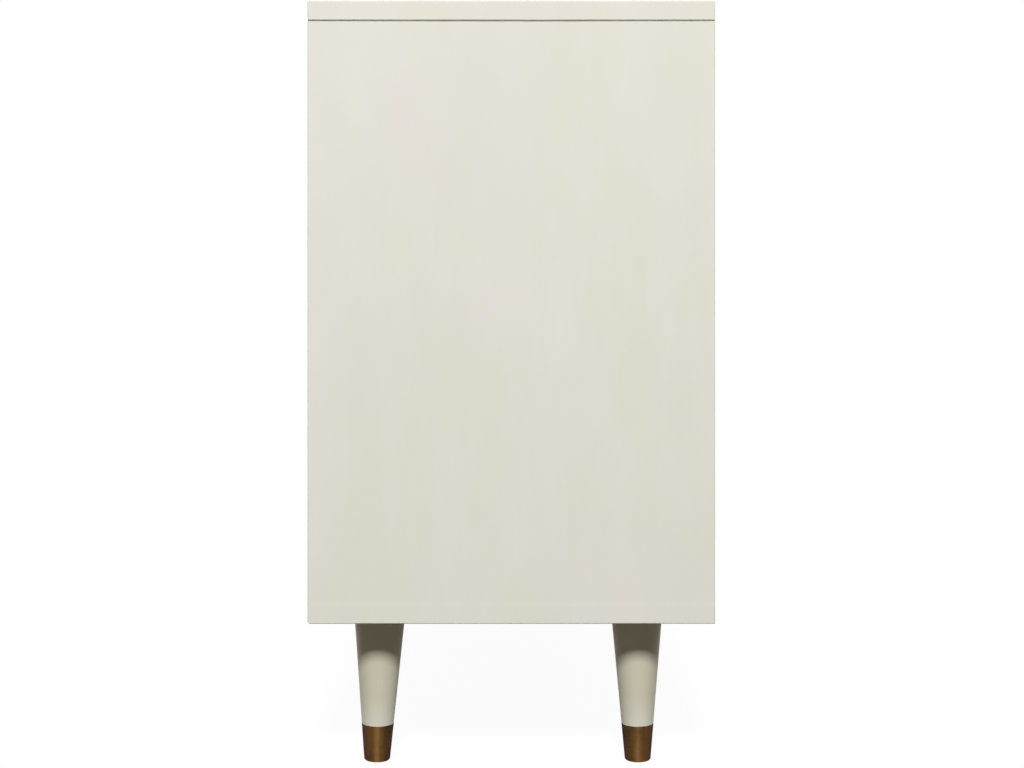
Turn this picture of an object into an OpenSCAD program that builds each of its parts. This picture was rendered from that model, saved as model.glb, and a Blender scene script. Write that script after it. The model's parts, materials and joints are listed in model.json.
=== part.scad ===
// Free-standing buffet: a painted case on four turned, tapered legs with brass
// ferrules. Two cupboards with inset doors on butt hinges stand either side of
// a bank of three dovetailed drawers. Millimetres, +Z up, the front faces -Y,
// and the origin is on the floor under the middle of the case.

/* [Case] */
// Width of the case from end to end
case_w = 1524; // [1400:1:1830]
// Depth of the case from front edge to back edge
case_d = 457; // [435:1:520]
// Height of the case without its legs
case_h = 698.5; // [640:0.5:780]
// Thickness of the top panel
top_t = 22; // [18:0.5:30]
// Thickness of the bottom panel
bottom_t = 22; // [20:0.5:30]
// Thickness of each end panel
end_t = 22; // [20:0.5:28]
// Thickness of each divider
divider_t = 18; // [16:0.5:25]
// Clear width between the two dividers
middle_bay_w = 480; // [400:1:560]
// Height of the shadow line between the top panel and each end panel
seam_h = 1.8; // [0.8:0.1:3]
// Depth of the shadow line
seam_depth = 3; // [1:0.5:6]
// Chamfer on the arrises of panels and fronts
arris = 0.8; // [0.4:0.1:1.5]
// Radius of the round under the front edge of the bottom panel
bottom_round = 3; // [1:0.5:6]

/* [Back panel] */
// Thickness of the back panel
back_t = 9; // [6:0.5:12]
// Distance from the back edges of the case in to the back panel
back_inset = 2; // [0:0.5:6]
// Width of the rebate that the back panel sits in
rebate_w = 9; // [6:0.5:12]
// Gap left around the edges of the back panel
back_fit = 0.3; // [0.1:0.1:1]

/* [Fronts] */
// Thickness of the doors and drawer fronts
front_t = 20; // [19:0.5:26]
// Distance from the front edges of the case in to the fronts
front_setback = 5; // [4.6:0.1:12]
// Gap around every door and drawer front
reveal = 2; // [1.6:0.1:3]
// Height of the top drawer front
top_front_h = 160; // [120:1:200]
// Height of the middle drawer front
middle_front_h = 222; // [160:1:260]

/* [Drawer boxes] */
// Distance from the back of a drawer to the back panel
drawer_gap = 36; // [10:1:60]
// Thickness of a drawer side
drawer_side_t = 14; // [12:0.5:18]
// Thickness of a drawer back
drawer_back_t = 12; // [10:0.5:16]
// Thickness of a drawer bottom
drawer_bottom_t = 6; // [4:0.5:9]
// Drop from the top edge of a drawer front to the top edge of its box
box_drop = 8; // [2:0.5:20]
// Rise from the lower edge of a drawer front to the lower edge of its box
box_rise = 3; // [1:0.5:10]
// Wood below the groove for the drawer bottom
bottom_up = 12; // [8:0.5:18]
// Depth of the groove for the drawer bottom
groove_depth = 5; // [3:0.5:7]
// Gap around the edges of the drawer bottom
bottom_fit = 0.3; // [0.1:0.1:0.8]
// Wood left between the tails and the face of a drawer front
lap = 6; // [4:0.5:9]
// Greatest spacing of the dovetails
tail_spacing = 46; // [30:1:70]
// Slope of the dovetails, as a rise of one in this many
tail_slope = 7; // [5:1:9]
// Narrowest width of the pins between the dovetails
pin_w = 6; // [3:0.5:10]

/* [Drawer runners] */
// Height of a runner
runner_h = 16; // [12:0.5:22]
// Distance that a runner stands out from the divider
runner_out = 8; // [6:0.5:9]
// Depth of the housing in the divider that a runner is glued into
runner_housing = 3; // [2:0.5:4]
// Distance from the back end of a runner to the back of its drawer
runner_end = 11; // [0:1:60]
// Distance from the back of the drawer front to the end of its runner
runner_start = 24; // [16:1:40]
// Height of the middle of a runner above the lower edge of the drawer box
runner_up = 74; // [60:1:90]
// Gap between a runner and the top and end of its groove
runner_seat = 0.3; // [0.2:0.1:0.6]
// Gap between a runner and the bottom and the face of its groove
runner_play = 0.7; // [0.4:0.1:1.5]

/* [Shelves] */
// Thickness of a shelf
shelf_t = 18; // [15:0.5:25]
// Gap at each end of a shelf
shelf_gap = 1.2; // [0.5:0.1:3]
// Distance from the back of a door to the front of a shelf
shelf_front = 22; // [15:1:60]
// Distance from the back of a shelf to the back panel
shelf_back = 2; // [1:0.5:10]
// Radius of a shelf pin
shelf_pin_r = 2.5; // [2:0.25:3]
// Depth of the holes for the shelf pins
shelf_pin_in = 9; // [7:0.5:11]
// Length of the flat spoon of a shelf pin
spoon_len = 9; // [6:0.5:12]
// Width of the flat spoon of a shelf pin
spoon_w = 8; // [6:0.5:10]
// Thickness of the flat spoon of a shelf pin
spoon_t = 1.6; // [1.2:0.1:2]
// Number of holes in each row
pin_rows = 5; // [3:2:7]
// Spacing of the holes in a row
pin_pitch = 32; // [25:1:40]
// Distance of the hole rows from the edges of the shelf
pin_row_in = 55; // [40:1:90]

/* [Legs] */
// Height of the case above the floor
leg_h = 175; // [150:1:210]
// Diameter of a leg under the case
leg_top_d = 60; // [54:0.5:68]
// Diameter that the taper of a leg reaches at the floor
leg_foot_d = 29.5; // [28:0.5:36]
// Distance from the end of the case to the middle of a leg
leg_in_end = 78; // [60:1:120]
// Distance from the front of the case to the middle of a front leg, at its top
leg_in_front = 75.5; // [65:0.5:110]
// Distance from the back of the case to the middle of a back leg, at its top
leg_in_back = 82.5; // [65:0.5:110]
// Angle that the front legs lean forwards
front_lean = 1.1; // [0:0.1:2]
// Angle that the back legs lean backwards
back_lean = 0.4; // [0:0.1:2]
// Height of the top of a ferrule above the floor
ferrule_h = 43.5; // [30:0.5:60]
// Wall of a ferrule
ferrule_wall = 1.2; // [0.8:0.1:2]
// Thickness of the floor of a ferrule
ferrule_floor = 3; // [2.5:0.1:5]
// Distance that a ferrule stands out from the taper of the leg
ferrule_proud = 0.1; // [0.1:0.1:1]
// Radius around the foot of a ferrule
ferrule_round = 2.5; // [1:0.1:4]
// Gap between a leg and the inside of its ferrule
ferrule_fit = 0.1; // [0.05:0.05:0.3]
// Radius of a glide
glide_r = 9.5; // [7:0.5:11]
// Thickness of a glide
glide_t = 2.2; // [1.8:0.1:3]
// Height that a glide holds the ferrule off the floor
glide_show = 0.8; // [0.4:0.1:1.2]
// Radius of the stem of a glide
stem_r = 2.5; // [1.5:0.25:3]
// Length of the stem of a glide
stem_len = 20; // [12:1:30]
// Radius of the bolt that holds a leg
bolt_r = 4; // [3:0.5:6]
// Length of the bolt inside the leg
bolt_in_leg = 45; // [30:1:60]
// Radius of the threaded insert in the bottom panel
insert_r = 7.5; // [7:0.5:10]
// Length of the threaded insert
insert_len = 17; // [12:0.5:18]

/* [Hinges] */
// Length of a hinge
hinge_len = 64; // [55:1:90]
// Distance from the edge of a door to the near end of a hinge
hinge_up = 60; // [40:1:120]
// Width of a hinge leaf from the pin
leaf_w = 17; // [14:0.5:18]
// Thickness of a hinge leaf
leaf_t = 1.8; // [1.4:0.1:2.4]
// Radius of the hinge barrel
barrel_r = 4; // [3.5:0.1:4.3]
// Radius of the hinge pin
hinge_pin_r = 1.75; // [1.5:0.05:2]
// Number of knuckles along the barrel
knuckles = 5; // [3:2:7]
// Gap between two knuckles and around the barrel
knuckle_gap = 0.3; // [0.2:0.05:0.5]
// Running clearance of the door knuckles on the pin
pin_fit = 0.05; // [0.02:0.01:0.09]
// Radius of the tip at each end of the pin
tip_r = 2.8; // [2.2:0.1:3.4]
// Height of the tip at each end of the pin
tip_h = 1.6; // [1:0.1:3]
// Radius of a hinge screw
screw_r = 1.5; // [1.2:0.1:1.8]
// Radius of the head of a hinge screw
screw_head_r = 3; // [2.6:0.1:3.4]
// Length of a hinge screw
screw_len = 16; // [10:1:18]
// Distance from the pin to the hinge screws
screw_in = 11; // [9:0.5:12]
// Spacing of the hinge screws
screw_pitch = 22; // [16:1:24]

/* [Pulls] */
// Radius of the flange of a pull
flange_r = 22; // [18:0.5:28]
// Thickness of the flange of a pull
flange_t = 1.4; // [1:0.1:2]
// Outer radius of the bowl of a pull
bowl_r = 18.5; // [15:0.5:24]
// Depth of the bowl behind the face
bowl_depth = 13; // [10:0.5:15]
// Wall of the bowl
bowl_wall = 1.2; // [0.8:0.1:2]
// Radius inside the bottom of the bowl
bowl_round = 5; // [2:0.5:8]
// Gap between a bowl and the hole that it sits in
bowl_fit = 0.2; // [0.1:0.05:0.5]
// Distance from the free edge of a door to the middle of its pull
pull_in = 48; // [35:1:80]

/* [Catches] */
// Width of a magnetic catch
catch_w = 44; // [30:1:60]
// Depth of a magnetic catch
catch_d = 14; // [10:0.5:20]
// Height of a magnetic catch
catch_h = 12; // [10:0.5:16]
// Length of the ear at each end of a catch
ear_len = 9; // [7:0.5:12]
// Thickness of the ears
ear_t = 3; // [2:0.5:5]
// Radius of the screw hole in each ear
ear_hole_r = 2; // [1.5:0.25:2.5]
// Width of the plate on the door
strike_w = 38; // [25:1:50]
// Height of the plate on the door
strike_h = 10; // [8:0.5:14]
// Thickness of the plate on the door
strike_t = 1.2; // [0.8:0.1:2]
// Gap between a catch and its plate
catch_gap = 0.3; // [0.2:0.1:0.6]
// Distance from the divider to the middle of a catch
catch_in = 60; // [35:1:120]

/* [Hidden] */
$fn = 64;

paint = [0.87, 0.86, 0.81];
maple = [0.80, 0.66, 0.47];
brass = [0.42, 0.31, 0.16];
steel = [0.62, 0.62, 0.62];
nylon = [0.16, 0.15, 0.14];

// Overlap that carries a cut past a face
over = 1;
left = 0;
right = 1;

// Heights
floor_z = leg_h + bottom_t;
ceiling_z = leg_h + case_h - top_t;
bay_h = ceiling_z - floor_z;

// Faces across the width, given for the right-hand side
end_in_x = case_w / 2 - end_t;
bay_x = middle_bay_w / 2;
divider_out_x = bay_x + divider_t;
door_w = end_in_x - divider_out_x - 2 * reveal;
door_h = bay_h - 2 * reveal;
hinge_x = end_in_x - reveal / 2;

// Faces from front to back
case_front_y = -case_d / 2;
face_y = case_front_y + front_setback;
face_back_y = face_y + front_t;
back_front_y = case_d / 2 - back_inset - back_t;
leg_front_y = case_front_y + leg_in_front;
leg_back_y = case_d / 2 - leg_in_back;

// Drawer fronts, from the top one down
bottom_front_h = bay_h - 4 * reveal - top_front_h - middle_front_h;
front_h = [top_front_h, middle_front_h, bottom_front_h];
front_z = [
    ceiling_z - reveal - top_front_h,
    ceiling_z - 2 * reveal - top_front_h - middle_front_h,
    floor_z + reveal
];
drawer_w = middle_bay_w - 2 * reveal;
drawer_x = drawer_w / 2;
tail_len = front_t - lap;
drawer_back_y = back_front_y - drawer_gap;
runner_y = face_back_y + runner_start;
runner_len = drawer_back_y - runner_end - runner_y;
groove_in = runner_out - reveal + runner_play;
pull_z = front_z[0] + top_front_h / 2;

// Shelves
shelf_w = end_in_x - divider_out_x - 2 * shelf_gap;
shelf_front_y = face_back_y + shelf_front;
shelf_d = back_front_y - shelf_back - shelf_front_y;
row_y = [shelf_front_y + pin_row_in, shelf_front_y + shelf_d - pin_row_in];
row_z = floor_z + bay_h / 2;
shelf_z = row_z + shelf_pin_r;

// Legs
leg_slope = (leg_top_d - leg_foot_d) / 2 / leg_h;
leg_x = case_w / 2 - leg_in_end;
leg_at = [[-leg_x, leg_front_y], [leg_x, leg_front_y], [-leg_x, leg_back_y], [leg_x, leg_back_y]];
leg_lean = [-front_lean, -front_lean, back_lean, back_lean];
cup_floor_z = glide_show + ferrule_floor;
stem_top = glide_t + stem_len;

// Hinges
hinge_z = [ceiling_z - reveal - hinge_up - hinge_len, floor_z + reveal + hinge_up];
knuckle_len = hinge_len / knuckles;

function leg_r(z) = leg_foot_d / 2 + leg_slope * z;
function box_h(i) = front_h[i] - box_drop - box_rise;
function box_z(i) = front_z[i] + box_rise;
function box_top(i) = box_z(i) + box_h(i);
function tray_z(i) = box_z(i) + bottom_up;
function back_z(i) = tray_z(i) + drawer_bottom_t;
function runner_z(i) = box_z(i) + runner_up;

// Corners of a rectangle, each cut off by its own chamfer: near the origin,
// then along X, across from the origin, and along Y
function eased_points(w, h, c) = concat(
    c[0] > 0 ? [[0, c[0]], [c[0], 0]] : [[0, 0]],
    c[1] > 0 ? [[w - c[1], 0], [w, c[1]]] : [[w, 0]],
    c[2] > 0 ? [[w, h - c[2]], [w - c[2], h]] : [[w, h]],
    c[3] > 0 ? [[c[3], h], [0, h - c[3]]] : [[0, h]]
);

module extrude_x(len) {
    rotate([90, 0, 90]) linear_extrude(len) children();
}

module extrude_y(len) {
    translate([0, len, 0]) rotate([90, 0, 0]) linear_extrude(len) children();
}

// Board with every arris eased
module eased_board(size, c = arris) {
    intersection() {
        linear_extrude(size[2]) polygon(eased_points(size[0], size[1], [c, c, c, c]));
        extrude_x(size[0]) polygon(eased_points(size[1], size[2], [c, c, c, c]));
        extrude_y(size[1]) polygon(eased_points(size[0], size[2], [c, c, c, c]));
    }
}

// Cut for the back panel, over the back of the whole case
module back_rebate() {
    w = case_w - 2 * end_t + 2 * rebate_w;
    y = back_front_y;
    translate([-w / 2, y, floor_z - rebate_w])
        cube([w, case_d / 2 - y + over, bay_h + 2 * rebate_w]);
}

module top_panel() {
    color(paint)
    difference() {
        translate([-case_w / 2, case_front_y, ceiling_z])
            eased_board([case_w, case_d, top_t]);
        back_rebate();
    }
}

module bottom_panel() {
    c = arris;
    r = bottom_round;
    color(paint)
    difference() {
        translate([-case_w / 2, case_front_y, leg_h])
        intersection() {
            extrude_x(case_w) {
                polygon(eased_points(case_d, bottom_t, [r, c, 0, 0]));
                translate([r, r]) circle(r);
            }
            extrude_y(case_d) polygon(eased_points(case_w, bottom_t, [c, c, 0, 0]));
            linear_extrude(bottom_t) polygon(eased_points(case_w, case_d, [c, c, c, c]));
        }
        back_rebate();
        for (p = leg_at)
            translate([p[0], p[1], leg_h - over]) cylinder(r = insert_r, h = insert_len + over);
    }
}

module end_panel(side) {
    c = arris;
    color(paint)
    mirror([side, 0, 0])
    difference() {
        translate([-case_w / 2, case_front_y, floor_z])
            linear_extrude(bay_h) polygon(eased_points(end_t, case_d, [c, c, 0, c]));
        back_rebate();
        translate([-case_w / 2 - over, case_front_y - over, ceiling_z - seam_h])
            cube([seam_depth + over, case_d + 2 * over, seam_h + over]);
        shelf_pin_holes(-end_in_x, -1);
        for (z = hinge_z) {
            leaf_pocket(z, -1);
            hinge_screws(z, -1);
        }
    }
}

module divider(side) {
    c = arris;
    color(paint)
    mirror([side, 0, 0])
    difference() {
        translate([-divider_out_x, case_front_y, floor_z])
            linear_extrude(bay_h)
            polygon(eased_points(divider_t, back_front_y - case_front_y, [c, c, 0, 0]));
        shelf_pin_holes(-divider_out_x, 1);
        for (i = [0:2])
            runner(i);
    }
}

module back_panel() {
    w = case_w - 2 * end_t + 2 * rebate_w - 2 * back_fit;
    h = bay_h + 2 * rebate_w - 2 * back_fit;
    color(paint)
    translate([-w / 2, back_front_y, floor_z - rebate_w + back_fit])
        cube([w, back_t, h]);
}

module shelf(side) {
    color(paint)
    mirror([side, 0, 0])
    translate([-end_in_x + shelf_gap, shelf_front_y, shelf_z])
        eased_board([shelf_w, shelf_d, shelf_t]);
}

// Rows of blind holes in the face at x of a left-hand panel; dir is the way
// along X that they go in
module shelf_pin_holes(x, dir) {
    for (y = row_y, k = [0:pin_rows - 1])
        translate([x - dir * over, y, row_z + (k - (pin_rows - 1) / 2) * pin_pitch])
            rotate([0, dir * 90, 0]) cylinder(r = shelf_pin_r, h = shelf_pin_in + over);
}

// Pin with a flat spoon under the shelf
module shelf_pin(x, y, dir) {
    translate([x, y, row_z]) {
        rotate([0, dir * 90, 0]) cylinder(r = shelf_pin_r, h = shelf_pin_in);
        intersection() {
            translate([-dir * spoon_len / 2, 0, shelf_pin_r - spoon_t / 2])
                cube([spoon_len, spoon_w, spoon_t], center = true);
            translate([-dir * (spoon_len - spoon_w / 2), 0, 0])
            union() {
                cylinder(r = spoon_w / 2, h = 2 * shelf_pin_r, center = true);
                translate([dir * spoon_len / 2, 0, 0])
                    cube([spoon_len, spoon_w, 2 * shelf_pin_r], center = true);
            }
        }
        rotate([0, -dir * 90, 0]) cylinder(r = shelf_pin_r, h = spoon_t);
    }
}

module shelf_pins() {
    color(brass)
    for (side = [left, right], y = row_y)
        mirror([side, 0, 0]) {
            shelf_pin(-end_in_x, y, -1);
            shelf_pin(-divider_out_x, y, 1);
        }
}

// Puts something modelled on the Z axis at a leg and leans it about the leg's top
module at_leg(i) {
    translate([leg_at[i][0], leg_at[i][1], leg_h])
        rotate([leg_lean[i], 0, 0])
        translate([0, 0, -leg_h]) children();
}

// Puts something upright under the middle of a leg's foot
module at_foot(i) {
    translate([leg_at[i][0], leg_at[i][1] + leg_h * tan(leg_lean[i]), 0]) children();
}

module leg(i) {
    color(paint)
    difference() {
        at_leg(i) {
            translate([0, 0, ferrule_h])
                cylinder(r1 = leg_r(ferrule_h), r2 = leg_r(leg_h + over), h = leg_h + over - ferrule_h);
            translate([0, 0, cup_floor_z])
                cylinder(
                    r1 = cup_r(cup_floor_z) - ferrule_fit,
                    r2 = cup_r(ferrule_h + over) - ferrule_fit,
                    h = ferrule_h + over - cup_floor_z
                );
        }
        at_foot(i) cylinder(r = stem_r, h = stem_top);
        translate([leg_at[i][0], leg_at[i][1], leg_h]) {
            translate([0, 0, -bolt_in_leg]) cylinder(r = bolt_r, h = bolt_in_leg + over);
            translate([-leg_top_d, -leg_top_d, 0]) cube([2 * leg_top_d, 2 * leg_top_d, 3 * over]);
        }
    }
}

// Inner radius of a ferrule at a height
function cup_r(z) = leg_r(z) + ferrule_proud - ferrule_wall;

// Cup around the foot of a leg, turned from one profile
module ferrule(i) {
    a = sqrt(1 + pow(leg_slope, 2));
    round_z = glide_show + ferrule_round;
    round_x = leg_r(round_z) + ferrule_proud - ferrule_round * a;
    rim_r = leg_r(ferrule_h) + ferrule_proud;
    rim = ferrule_proud / 2;
    color(brass)
    difference() {
        at_leg(i)
        rotate_extrude() {
            polygon([
                [0, glide_show],
                [round_x, glide_show],
                [round_x + ferrule_round / a, round_z - ferrule_round * leg_slope / a],
                [rim_r - leg_slope * rim, ferrule_h - rim],
                [rim_r - rim, ferrule_h],
                [0, ferrule_h]
            ]);
            intersection() {
                translate([round_x, round_z]) circle(ferrule_round);
                square([leg_top_d, ferrule_h]);
            }
        }
        at_leg(i)
        translate([0, 0, cup_floor_z])
            cylinder(
                r1 = cup_r(cup_floor_z),
                r2 = cup_r(ferrule_h + over),
                h = ferrule_h + over - cup_floor_z
            );
        at_foot(i) {
            cylinder(r = glide_r + ferrule_fit, h = glide_t);
            cylinder(r = stem_r + ferrule_fit, h = ferrule_h);
        }
    }
}

module glides() {
    color(nylon)
    for (i = [0:3])
        at_foot(i) {
            cylinder(r = glide_r, h = glide_t);
            cylinder(r = stem_r, h = stem_top);
        }
}

module leg_bolts() {
    color(steel)
    for (p = leg_at)
        translate([p[0], p[1], leg_h - bolt_in_leg])
            cylinder(r = bolt_r, h = bolt_in_leg + insert_len);
}

module leg_inserts() {
    color(brass)
    for (p = leg_at)
        translate([p[0], p[1], leg_h])
        difference() {
            cylinder(r = insert_r, h = insert_len);
            translate([0, 0, -over]) cylinder(r = bolt_r, h = insert_len + 2 * over);
        }
}

// Left-hand runner of a drawer, with its glued part in the divider
module runner(i) {
    translate([-bay_x - runner_housing, runner_y, runner_z(i) - runner_h / 2])
        cube([runner_housing + runner_out, runner_len, runner_h]);
}

module drawer_runners(side) {
    color(maple)
    mirror([side, 0, 0])
    for (i = [0:2])
        runner(i);
}

// Tails of a left-hand drawer side over a height, pointing along dir from y;
// their roots run a little way back into the side
module tails(y, dir, len, z, h) {
    n = ceil(h / tail_spacing);
    pitch = h / n;
    wide = (pitch - pin_w) / 2;
    narrow = wide - len / tail_slope;
    translate([-drawer_x, 0, 0])
    extrude_x(drawer_side_t)
    for (k = [0:n - 1])
        translate([y, z + (k + 0.5) * pitch])
        polygon([
            [-dir * over, -narrow],
            [0, -narrow],
            [dir * len, -wide],
            [dir * len, wide],
            [0, narrow],
            [-dir * over, narrow]
        ]);
}

module front_tails(i) {
    tails(face_back_y, -1, tail_len, box_z(i), box_h(i));
}

module back_tails(i) {
    tails(drawer_back_y - drawer_back_t, 1, drawer_back_t, back_z(i), box_top(i) - back_z(i));
}

// Space for the drawer bottom in the front and the sides
module tray_space(i) {
    w = drawer_w - 2 * drawer_side_t + 2 * groove_depth;
    y = face_back_y - groove_depth;
    translate([-w / 2, y, tray_z(i)])
        cube([w, drawer_back_y - y + over, drawer_bottom_t]);
}

// Groove in the left-hand side of a drawer, closed in front and open behind
module runner_groove(i) {
    translate([
        -drawer_x - over,
        runner_y - runner_seat,
        runner_z(i) - runner_h / 2 - runner_play
    ])
        cube([
            groove_in + over,
            drawer_back_y - runner_y + runner_seat + over,
            runner_h + runner_play + runner_seat
        ]);
}

module drawer_front(i) {
    color(paint)
    difference() {
        translate([-drawer_x, face_y, front_z[i]])
            eased_board([drawer_w, front_t, front_h[i]]);
        for (side = [left, right])
            mirror([side, 0, 0]) front_tails(i);
        intersection() {
            tray_space(i);
            cube([drawer_w - 2 * drawer_side_t, case_d, 2 * ceiling_z], center = true);
        }
        bowl_hole(0, front_z[i] + front_h[i] / 2);
    }
}

module drawer_side(i, side) {
    color(maple)
    mirror([side, 0, 0])
    difference() {
        union() {
            translate([-drawer_x, face_back_y, box_z(i)])
                cube([drawer_side_t, drawer_back_y - drawer_back_t - face_back_y, box_h(i)]);
            translate([-drawer_x, drawer_back_y - drawer_back_t - over, box_z(i)])
                cube([drawer_side_t, drawer_back_t + over, back_z(i) - box_z(i)]);
            front_tails(i);
            back_tails(i);
        }
        tray_space(i);
        runner_groove(i);
    }
}

module drawer_back(i) {
    color(maple)
    difference() {
        translate([-drawer_x, drawer_back_y - drawer_back_t, back_z(i)])
            cube([drawer_w, drawer_back_t, box_top(i) - back_z(i)]);
        for (side = [left, right])
            mirror([side, 0, 0]) {
                back_tails(i);
                runner_groove(i);
            }
    }
}

module drawer_bottom(i) {
    w = drawer_w - 2 * drawer_side_t + 2 * groove_depth - 2 * bottom_fit;
    y = face_back_y - groove_depth + bottom_fit;
    color(maple)
    difference() {
        translate([-w / 2, y, tray_z(i)]) cube([w, drawer_back_y - y, drawer_bottom_t]);
        for (side = [left, right])
            mirror([side, 0, 0])
            translate([-drawer_x, y - over, tray_z(i) - over])
                cube([drawer_side_t, groove_depth + over, drawer_bottom_t + 2 * over]);
    }
}

// Hole for the bowl of a pull in a front, at x and z
module bowl_hole(x, z) {
    translate([x, face_y - over, z])
        rotate([-90, 0, 0]) cylinder(r = bowl_r + bowl_fit, h = bowl_depth + bowl_fit + over);
}

// Turned bowl with a flange, whose axis lies along Y
module pull(x, z) {
    in_r = bowl_r - bowl_wall;
    in_d = bowl_depth - bowl_wall;
    color(brass)
    translate([x, face_y, z])
    rotate([-90, 0, 0])
    rotate_extrude()
    difference() {
        union() {
            translate([0, -flange_t]) square([flange_r - flange_t / 2, flange_t]);
            translate([flange_r - flange_t / 2, -flange_t / 2]) circle(flange_t / 2);
            square([bowl_r, bowl_depth]);
        }
        translate([0, -flange_t - over]) square([in_r, flange_t + over + in_d - bowl_round]);
        square([in_r - bowl_round, in_d]);
        intersection() {
            translate([in_r - bowl_round, in_d - bowl_round]) circle(bowl_round);
            square([in_r, in_d]);
        }
    }
}

module door(side) {
    color(paint)
    mirror([side, 0, 0])
    difference() {
        translate([-end_in_x + reveal, face_y, floor_z + reveal])
            eased_board([door_w, front_t, door_h]);
        for (z = hinge_z) {
            leaf_pocket(z, 1);
            hinge_screws(z, 1);
        }
        bowl_hole(-divider_out_x - reveal - pull_in, pull_z);
    }
}

// A leaf lies in the wood on the dir side of the pin: -1 the end panel, 1 the door
module leaf_plate(dir, y, z, h) {
    translate([dir > 0 ? reveal / 2 : -reveal / 2 - leaf_t, y, z])
        cube([leaf_t, leaf_w - y, h]);
}

// Room for a leaf and for the barrel of the hinge
module leaf_pocket(z, dir) {
    room = barrel_r + knuckle_gap;
    top = hinge_len + 2 * (tip_h + knuckle_gap);
    translate([-hinge_x, face_y, z]) {
        leaf_plate(dir, 0, 0, hinge_len);
        translate([0, 0, -tip_h - knuckle_gap]) {
            cylinder(r = room, h = top);
            translate([-room, -front_setback - over, 0])
                cube([room, front_setback + over, top]);
        }
    }
}

// Screws through one leaf, pointing away from the pin
module hinge_screws(z, dir) {
    for (k = [-1:1])
        translate([-hinge_x + dir * reveal / 2, face_y + screw_in, z + hinge_len / 2 + k * screw_pitch])
        rotate([0, dir * 90, 0]) {
            cylinder(r = screw_r, h = screw_len);
            cylinder(r1 = screw_head_r, r2 = screw_r, h = leaf_t);
        }
}

// Knuckles 0, 2, 4 ... belong to the case leaf and the others to the door leaf
module hinge_leaf(z, dir) {
    first = dir < 0 ? 0 : 1;
    bore = dir < 0 ? hinge_pin_r : hinge_pin_r + pin_fit;
    room = barrel_r + 2 * knuckle_gap;
    color(brass)
    difference() {
        translate([-hinge_x, face_y, z])
        difference() {
            union() {
                leaf_plate(dir, room, 0, hinge_len);
                for (k = [first:2:knuckles - 1])
                    knuckle(k, dir);
            }
            translate([0, 0, -over]) cylinder(r = bore, h = hinge_len + 2 * over);
        }
        hinge_screws(z, dir);
    }
}

module knuckle(k, dir) {
    low = k == 0 ? 0 : k * knuckle_len + knuckle_gap / 2;
    high = k == knuckles - 1 ? hinge_len : (k + 1) * knuckle_len - knuckle_gap / 2;
    translate([0, 0, low]) cylinder(r = barrel_r, h = high - low);
    leaf_plate(dir, 0, low, high - low);
}

module case_leaf(side, k) {
    mirror([side, 0, 0]) hinge_leaf(hinge_z[k], -1);
}

module door_leaf(side, k) {
    mirror([side, 0, 0]) hinge_leaf(hinge_z[k], 1);
}

module hinge_pins() {
    color(brass)
    for (side = [left, right], z = hinge_z)
        mirror([side, 0, 0])
        translate([-hinge_x, face_y, z]) {
            cylinder(r = hinge_pin_r, h = hinge_len);
            translate([0, 0, -tip_h]) cylinder(r1 = tip_r - tip_h / 2, r2 = tip_r, h = tip_h);
            translate([0, 0, hinge_len]) cylinder(r1 = tip_r, r2 = tip_r - tip_h / 2, h = tip_h);
        }
}

module case_hinge_screws() {
    color(brass)
    for (side = [left, right], z = hinge_z)
        mirror([side, 0, 0]) hinge_screws(z, -1);
}

module door_hinge_screws(side) {
    color(brass)
    mirror([side, 0, 0])
    for (z = hinge_z)
        hinge_screws(z, 1);
}

module catches() {
    color(nylon)
    for (side = [left, right])
        mirror([side, 0, 0])
        translate([-divider_out_x - catch_in, face_back_y + strike_t + catch_gap, ceiling_z])
        difference() {
            body_w = catch_w - 2 * ear_len;
            union() {
                translate([-body_w / 2, 0, -catch_h]) cube([body_w, catch_d, catch_h]);
                translate([-catch_w / 2, 0, -ear_t])
                    linear_extrude(ear_t)
                    polygon(eased_points(catch_w, catch_d, [ear_t, ear_t, ear_t, ear_t]));
            }
            for (x = [-1, 1] * (catch_w - ear_len) / 2)
                translate([x, catch_d / 2, -ear_t - over])
                    cylinder(r = ear_hole_r, h = ear_t + over);
        }
}

module strike(side) {
    color(steel)
    mirror([side, 0, 0])
    translate([
        -divider_out_x - catch_in - strike_w / 2,
        face_back_y,
        ceiling_z - catch_h / 2 - strike_h / 2
    ])
        cube([strike_w, strike_t, strike_h]);
}

module door_pull(side) {
    mirror([side, 0, 0]) pull(-divider_out_x - reveal - pull_in, pull_z);
}

module drawer_pull(i) {
    pull(0, front_z[i] + front_h[i] / 2);
}

top_panel();
bottom_panel();
end_panel(left);  // left_end_panel
end_panel(right);  // right_end_panel
divider(left);  // left_divider
divider(right);  // right_divider
back_panel();
shelf(left);  // left_shelf
shelf(right);  // right_shelf
shelf_pins();
leg(0);  // front_left_leg
leg(1);  // front_right_leg
leg(2);  // back_left_leg
leg(3);  // back_right_leg
ferrule(0);  // front_left_ferrule
ferrule(1);  // front_right_ferrule
ferrule(2);  // back_left_ferrule
ferrule(3);  // back_right_ferrule
glides();
leg_bolts();
leg_inserts();
drawer_runners(left);  // left_drawer_runners
drawer_runners(right);  // right_drawer_runners
door(left);  // left_door
door(right);  // right_door
door_pull(left);  // left_door_pull
door_pull(right);  // right_door_pull
case_leaf(left, 0);  // left_upper_case_leaf
case_leaf(left, 1);  // left_lower_case_leaf
case_leaf(right, 0);  // right_upper_case_leaf
case_leaf(right, 1);  // right_lower_case_leaf
door_leaf(left, 0);  // left_upper_door_leaf
door_leaf(left, 1);  // left_lower_door_leaf
door_leaf(right, 0);  // right_upper_door_leaf
door_leaf(right, 1);  // right_lower_door_leaf
hinge_pins();
case_hinge_screws();
door_hinge_screws(left);  // left_door_hinge_screws
door_hinge_screws(right);  // right_door_hinge_screws
catches();
strike(left);  // left_strike
strike(right);  // right_strike
drawer_front(0);  // top_drawer_front
drawer_side(0, left);  // top_drawer_left_side
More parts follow.
